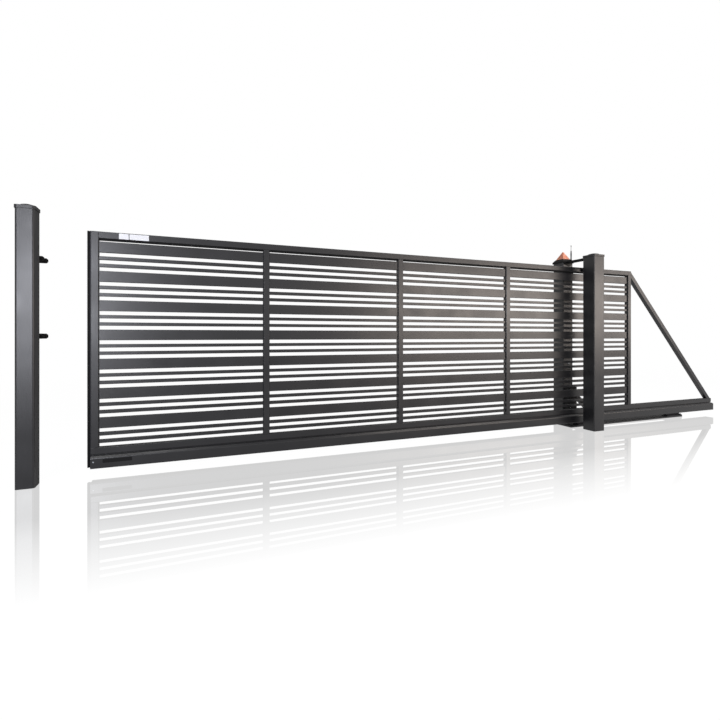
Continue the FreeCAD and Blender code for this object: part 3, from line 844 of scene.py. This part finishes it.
def screw_tree():
    tree, given = start_geometry_tree("button screws", SCREW_SIZES)
    part = dict(given.outputs.items())
    for label, (source, share) in SCREW_SHARES.items():
        node = add(tree, "ShaderNodeMath", {0: part[source], 1: share}, operation="MULTIPLY")
        part[label] = node.outputs[0]
    skirt = add(
        tree,
        "GeometryNodeMeshCone",
        {
            "Vertices": 16,
            "Radius Top": part["skirt top"],
            "Radius Bottom": part["Head Radius"],
            "Depth": part["skirt height"],
        },
    )
    tube_r = add(
        tree, "ShaderNodeMath", {0: part["dome radius"], 1: part["Socket"]}, operation="SUBTRACT"
    ).outputs[0]
    ring = add(tree, "GeometryNodeCurvePrimitiveCircle", {"Resolution": 16, "Radius": part["dome radius"]})
    wall = add(tree, "GeometryNodeCurvePrimitiveCircle", {"Resolution": 8, "Radius": tube_r})
    dome = add(
        tree,
        "GeometryNodeCurveToMesh",
        {"Curve": ring.outputs["Curve"], "Profile Curve": wall.outputs["Curve"]},
    )
    lift = add(tree, "ShaderNodeCombineXYZ", {"Z": part["skirt height"]}).outputs[0]
    raised = add(tree, "GeometryNodeTransform", {"Geometry": dome.outputs[0], "Translation": lift})
    screw = add(tree, "GeometryNodeJoinGeometry", {0: [skirt.outputs["Mesh"], raised.outputs[0]]})
    aligned, size = seat_facing_and_size(tree)
    return end_geometry_tree(tree, given, part["Geometry"], screw.outputs[0], aligned, size)


SCREWS = screw_tree()
print("screw tree:", len(SCREWS.nodes), "nodes")

# %% [markdown]
# The front cap of the beam takes one screw from each side, and the rear cap two in its end. The cover of the
# drive housing has one near each corner, and the yoke two small black ones.

# %% Screws on the leaf
CAP_SCREW_X, CAP_SCREW_RISE = 15.5 * MM, 40.5 * MM
REAR_SCREW_Y = 26 * MM
FRONT_SCREW, REAR_SCREW = 0.75, 0.8  # against the tree's own screw
cap_low, cap_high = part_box("beam_cap_rear")
screw_x, screw_z = beam_low.x + CAP_SCREW_X, beam_low.z + CAP_SCREW_RISE
spots = [
    ((screw_x, beam_low.y, screw_z), STREET, FRONT_SCREW),
    ((screw_x, beam_high.y, screw_z), YARD, FRONT_SCREW),
]
for y in (-REAR_SCREW_Y, REAR_SCREW_Y):
    spots.append(((cap_high.x, y, (cap_low.z + cap_high.z) / 2), TO_TAIL, REAR_SCREW))
grow("leaf_screws", SCREWS, seats(spots), {"Finish": ZINC}, LEAF)

# %% Screws on the drive housing and the yoke
HOUSING_INSET_X, HOUSING_INSET_Z, HOUSING_SCREW = 16 * MM, 18 * MM, 0.7
YOKE_SCREW_X, YOKE_SCREW_DROP, YOKE_SCREW = 36 * MM, 6 * MM, 0.5
box_low, box_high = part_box("drive_housing")
spots = []
for x in (box_low.x + HOUSING_INSET_X, box_high.x - HOUSING_INSET_X):
    for z in (box_low.z + HOUSING_INSET_Z, box_high.z - HOUSING_INSET_Z):
        spots.append(((x, box_low.y, z), STREET, HOUSING_SCREW))
grow("fixed_screws", SCREWS, seats(spots), {"Finish": ZINC}, FIXED)
yoke_low, yoke_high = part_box("head_yoke")
yoke_z = yoke_high.z - YOKE_SCREW_DROP
spots = [((x, yoke_low.y, yoke_z), STREET, YOKE_SCREW) for x in (-YOKE_SCREW_X, YOKE_SCREW_X)]
grow("yoke_screws", SCREWS, seats(spots), {"Finish": BLACK_COAT}, FIXED)

# %% [markdown]
# ## Bare plates
# Such gates carry a plate on the beam and a film in two pieces on the top rail near the closing end. All stay
# blank here. A plate is a rounded rectangle with a bevelled edge, set on the face that carries it, so that it
# catches the light at its rim as a stuck-on plate does.

# %% Blank plates
PLATE_EDGE = ((0.0, 0.0), (0.0, 0.6), (0.5, 1.0))  # inset and rise, in shares of the thickness
CORNER_STEPS = 4


def plate(name, across, up, start, thickness, corner, finish):
    """Plate on the street side of a piece, measured across and up from the start of that piece."""
    x0, x1 = (start.x + u for u in across)
    z0, z1 = (start.z + u for u in up)
    rings = []
    for inset, rise in PLATE_EDGE:
        radius = corner - thickness * inset
        ring = []
        for cx, cz, quarter in ((x1, z1, 0), (x0, z1, 90), (x0, z0, 180), (x1, z0, 270)):
            for step in range(CORNER_STEPS + 1):
                angle = math.radians(quarter + 90 * step / CORNER_STEPS)
                px = cx + (corner if cx == x0 else -corner) + radius * math.cos(angle)
                pz = cz + (corner if cz == z0 else -corner) + radius * math.sin(angle)
                ring.append((px, start.y - thickness * rise, pz))
        rings.append(ring)
    return place(name, shell(name, rings, [finish]), LEAF)


BEAM_PLATE_ACROSS, BEAM_PLATE_UP = (64 * MM, 221 * MM), (32 * MM, 54 * MM)
BEAM_PLATE_THICKNESS, BEAM_PLATE_CORNER = 1.5 * MM, 5 * MM
FILM_ACROSS = {"rail_film_left": (108 * MM, 161 * MM), "rail_film_right": (165 * MM, 272 * MM)}
FILM_UP = (2 * MM, 36 * MM)
FILM_THICKNESS, FILM_CORNER = 0.6 * MM, 2 * MM
rail_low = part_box("top_rail")[0]
plates = [
    plate(
        "beam_plate",
        BEAM_PLATE_ACROSS,
        BEAM_PLATE_UP,
        beam_low,
        BEAM_PLATE_THICKNESS,
        BEAM_PLATE_CORNER,
        BLACK_ABS,
    )
]
for name, across in FILM_ACROSS.items():
    film = plate(name, across, FILM_UP, rail_low, FILM_THICKNESS, FILM_CORNER, PALE_FILM)
    plates.append(film)
print("plates:", [p.name for p in plates])

# %% [markdown]
# ## Release lock
# A key on the drive post lets the leaf go when the power is off. What shows is a small bright cylinder in a
# collar, with a slit for the key. The collar is turned, and the slit is a thin black block that stands a hair
# above it. It is painted shade for the dark inside of a cut, which is simpler and looks the same at this
# size.

# %% Release lock
LOCK_AT = (9.5 * MM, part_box("drive_post")[0].y, 568 * MM)
COLLAR_MM = ((10.5, 0.0), (10.5, 2.0), (9.5, 3.0), (7.2, 3.0), (6.8, 4.2), (6.0, 4.6))  # radius, height
COLLAR_SIDES = 28
SLIT_HALF_X, SLIT_HALF_Z = 0.8 * MM, 4.5 * MM
SLIT_RINGS = ((3.5 * MM, 1.0), (4.75 * MM, 1.0), (4.9 * MM, 0.8))  # height, share of the slit's size
collar = [(radius * MM, height * MM) for radius, height in COLLAR_MM]
mesh = shell("release_lock", turned(collar, LOCK_AT, STREET, COLLAR_SIDES), [ZINC])
smooth_by_angle(mesh, SOFT_EDGE)
place("release_lock", mesh, FIXED)
# The slit's black block is painted shade: it stands for the dark inside of a cut in the lock.
slit = [(u * SLIT_HALF_X, v * SLIT_HALF_Z) for u, v in ((-1, -1), (1, -1), (1, 1), (-1, 1))]
x, y, z = LOCK_AT
rings = [[(x + u * share, y - rise, z + v * share) for u, v in slit] for rise, share in SLIT_RINGS]
place("release_lock_slit_painted_shade", shell("release_lock_slit_painted_shade", rings, [BLACK_ABS]), FIXED)
print("lock at", [round(c, 3) for c in LOCK_AT])

# %% [markdown]
# ## Floor
# The gate stands on a pale studio floor with a faint shine, in front of white. A very bright floor would
# light the gate from below, so the floor shows white to the camera and to reflections alone, by the light
# path, and is grey to all other light. The shine is in the camera's view alone, full near the gate and gone
# a metre and a half away.

# %% Floor
FLOOR_RADIUS, FLOOR_SIDES, FLOOR_DROP = 60.0, 96, 0.5 * MM
FLOOR_GREY, SHADOW_GREY = "#8a8a8a", "#3c3c3c"
NEAR_WHITE, FULL_WHITE = 0.98, 1.0
FADE_FROM, FADE_TO = 4.0, 10.0
SHINE, SHINE_FULL, SHINE_REACH, SHINE_BLUR = 0.37, 0.65, 1.45, 0.02


def white_by_light_path(tree):
    """Outputs of the light path, and a socket that is 1 for the camera, for reflections and through glass."""
    path = add(tree, "ShaderNodeLightPath").outputs
    shown = path["Is Camera Ray"]
    for ray in ("Is Glossy Ray", "Is Transmission Ray"):
        shown = add(tree, "ShaderNodeMath", {0: shown, 1: path[ray]}, operation="MAXIMUM").outputs[0]
    return path, shown


def studio_floor():
    material = bpy.data.materials.new("studio_floor")
    material.use_nodes = True
    tree = material.node_tree
    tree.nodes.remove(tree.nodes["Principled BSDF"])
    coords = add(tree, "ShaderNodeTexCoord").outputs["Object"]
    path, shown = white_by_light_path(tree)
    pale = add(tree, "ShaderNodeBsdfDiffuse", {"Color": linear(FLOOR_GREY)}).outputs[0]
    lit = add(tree, "ShaderNodeBsdfDiffuse", {"Color": linear(SHADOW_GREY)}).outputs[0]
    white = add(tree, "ShaderNodeEmission", {"Color": WHITE, "Strength": NEAR_WHITE}).outputs[0]
    near = add(tree, "ShaderNodeAddShader", {0: lit, 1: white}).outputs[0]
    far_white = add(tree, "ShaderNodeEmission", {"Color": WHITE, "Strength": FULL_WHITE}).outputs[0]
    distance = add(tree, "ShaderNodeVectorMath", {0: coords}, operation="LENGTH").outputs["Value"]
    far = add(tree, "ShaderNodeMapRange", {"Value": distance, "From Min": FADE_FROM, "From Max": FADE_TO})
    bright = add(tree, "ShaderNodeMixShader", {0: far.outputs[0], 1: near, 2: far_white}).outputs[0]
    across = add(tree, "ShaderNodeSeparateXYZ", {0: coords}).outputs["Y"]
    away = add(tree, "ShaderNodeMath", {0: across}, operation="ABSOLUTE").outputs[0]
    shine = add(
        tree,
        "ShaderNodeMapRange",
        {"Value": away, "From Min": SHINE_FULL, "From Max": SHINE_REACH, "To Min": SHINE, "To Max": 0.0},
    ).outputs[0]
    shiny = add(tree, "ShaderNodeMath", {0: shine, 1: path["Is Camera Ray"]}, operation="MULTIPLY").outputs[0]
    mirror = add(tree, "ShaderNodeBsdfGlossy", {"Color": WHITE, "Roughness": SHINE_BLUR}).outputs[0]
    polished = add(tree, "ShaderNodeMixShader", {0: shiny, 1: bright, 2: mirror}).outputs[0]
    both = add(tree, "ShaderNodeMixShader", {0: shown, 1: pale, 2: polished}).outputs[0]
    tree.links.new(both, tree.nodes["Material Output"].inputs["Surface"])
    return material


floor_mesh = bpy.data.meshes.new("floor")
form = bmesh.new()
bmesh.ops.create_circle(form, cap_ends=True, segments=FLOOR_SIDES, radius=FLOOR_RADIUS)
form.to_mesh(floor_mesh)
form.free()
floor_mesh.transform(Matrix.Translation((0, 0, -FLOOR_DROP)))
floor_mesh.materials.append(studio_floor())
floor = bpy.data.objects.new("floor", floor_mesh)
scene.collection.objects.link(floor)
print("floor radius", FLOOR_RADIUS)

# %% [markdown]
# ## World
# The world does the same as the floor: white to the camera and to reflections, and a weak cool light to the
# gate itself, so that the backdrop adds little light.

# %% World
WORLD_LIGHT, WORLD_STRENGTH = "#e9edf2", 0.2
world = bpy.data.worlds.new("studio")
scene.world = world
world.use_nodes = True
tree = world.node_tree
_, shown = white_by_light_path(tree)
soft = tree.nodes["Background"]
soft.inputs["Color"].default_value = linear(WORLD_LIGHT)
soft.inputs["Strength"].default_value = WORLD_STRENGTH
white = add(tree, "ShaderNodeBackground", {"Color": WHITE, "Strength": FULL_WHITE})
both = add(tree, "ShaderNodeMixShader", {0: shown, 1: soft.outputs[0], 2: white.outputs[0]})
tree.links.new(both.outputs[0], tree.nodes["World Output"].inputs["Surface"])
print("world strength", WORLD_STRENGTH)

# %% [markdown]
# ## Lamps
# Dark satin coats show their light mostly as a mirror image, so where the lamps stand matters more than how
# strong they are. A soft lamp stands to the left of the street side, two warmer ones to the right and a weak
# one between them. Two strips overhead draw the pale line on the shoulder of the beam. The camera does not
# see the lamps themselves.


# %% Lamps
def soft_light(name, at, aim, size, watts, colour):
    data = bpy.data.lights.new(name, "AREA")
    data.shape = "RECTANGLE"
    data.size, data.size_y = size
    data.energy = watts
    data.color = linear(colour)[:3]
    lamp = bpy.data.objects.new(name, data)
    lamp.location = at
    lamp.rotation_euler = (Vector(aim) - Vector(at)).to_track_quat("-Z", "Y").to_euler()
    lamp.visible_camera = False
    scene.collection.objects.link(lamp)


COOL, WARM, FAINTLY_WARM, NEUTRAL = "#f4f6ff", "#fff1e6", "#fff6ee", "#ffffff"
STRIP_Y, STRIP_Z, STRIP_AIM_Z, STRIP_WIDE = -0.86, 3.6, 0.1, 0.7
soft_light(
    "left_soft_light", at=(-5.3, -4.4, 1.5), aim=(-4.2, 0.0, 1.1), size=(1.6, 1.9), watts=200, colour=COOL
)
soft_light(
    "right_warm_light",
    at=(1.86, -4.68, 1.44),
    aim=(-1.06, -0.78, 1.11),
    size=(3.7, 1.53),
    watts=184,
    colour=WARM,
)
soft_light(
    "far_right_light",
    at=(3.98, -3.09, 1.44),
    aim=(1.06, 0.81, 1.11),
    size=(1.6, 1.53),
    watts=56,
    colour=WARM,
)
soft_light(
    "front_fill_light", at=(-1.9, -5.2, 1.6), aim=(-2.6, 0.0, 1.2), size=(3.0, 1.5), watts=13, colour=NEUTRAL
)
for name, x, long, watts, colour in (
    ("left_strip_light", -3.95, 1.3, 18, NEUTRAL),
    ("right_strip_light", 1.0, 3.6, 54, FAINTLY_WARM),
):
    soft_light(name, (x, STRIP_Y, STRIP_Z), (x, 0.0, STRIP_AIM_Z), (long, STRIP_WIDE), watts, colour)
scene.view_settings.view_transform = "Standard"
print("lamps:", [lamp.name for lamp in bpy.data.lights])

# %% [markdown]
# ## Camera
# The camera stands where the photograph was taken from. Its place, its turn and its lens were fitted to the
# edges of stiles, slats, posts and beam. It looks level, so that uprights stay upright, and the lens is
# shifted down a little instead of tilted.

# %% Camera at the photograph's viewpoint
CAMERA_AT = (-3.364, -3.066, 0.829)
LEVEL, TURN_RIGHT = 90, 21.68
FOCAL_MM, SENSOR_MM = 22.34, 36.0
SHIFT_DOWN = 0.0339
FAR_ENOUGH = 200.0
camera_data = bpy.data.cameras.new("camera")
camera_data.lens = FOCAL_MM
camera_data.sensor_width = SENSOR_MM
camera_data.shift_y = -SHIFT_DOWN
camera_data.clip_end = FAR_ENOUGH
camera = bpy.data.objects.new("camera", camera_data)
camera.location = CAMERA_AT
camera.rotation_euler = (math.radians(LEVEL), 0.0, math.radians(-TURN_RIGHT))
scene.collection.objects.link(camera)
scene.camera = camera
print("camera at", [round(c, 3) for c in camera.location])

# %% [markdown]

# %% Finish
bpy.context.view_layer.update()
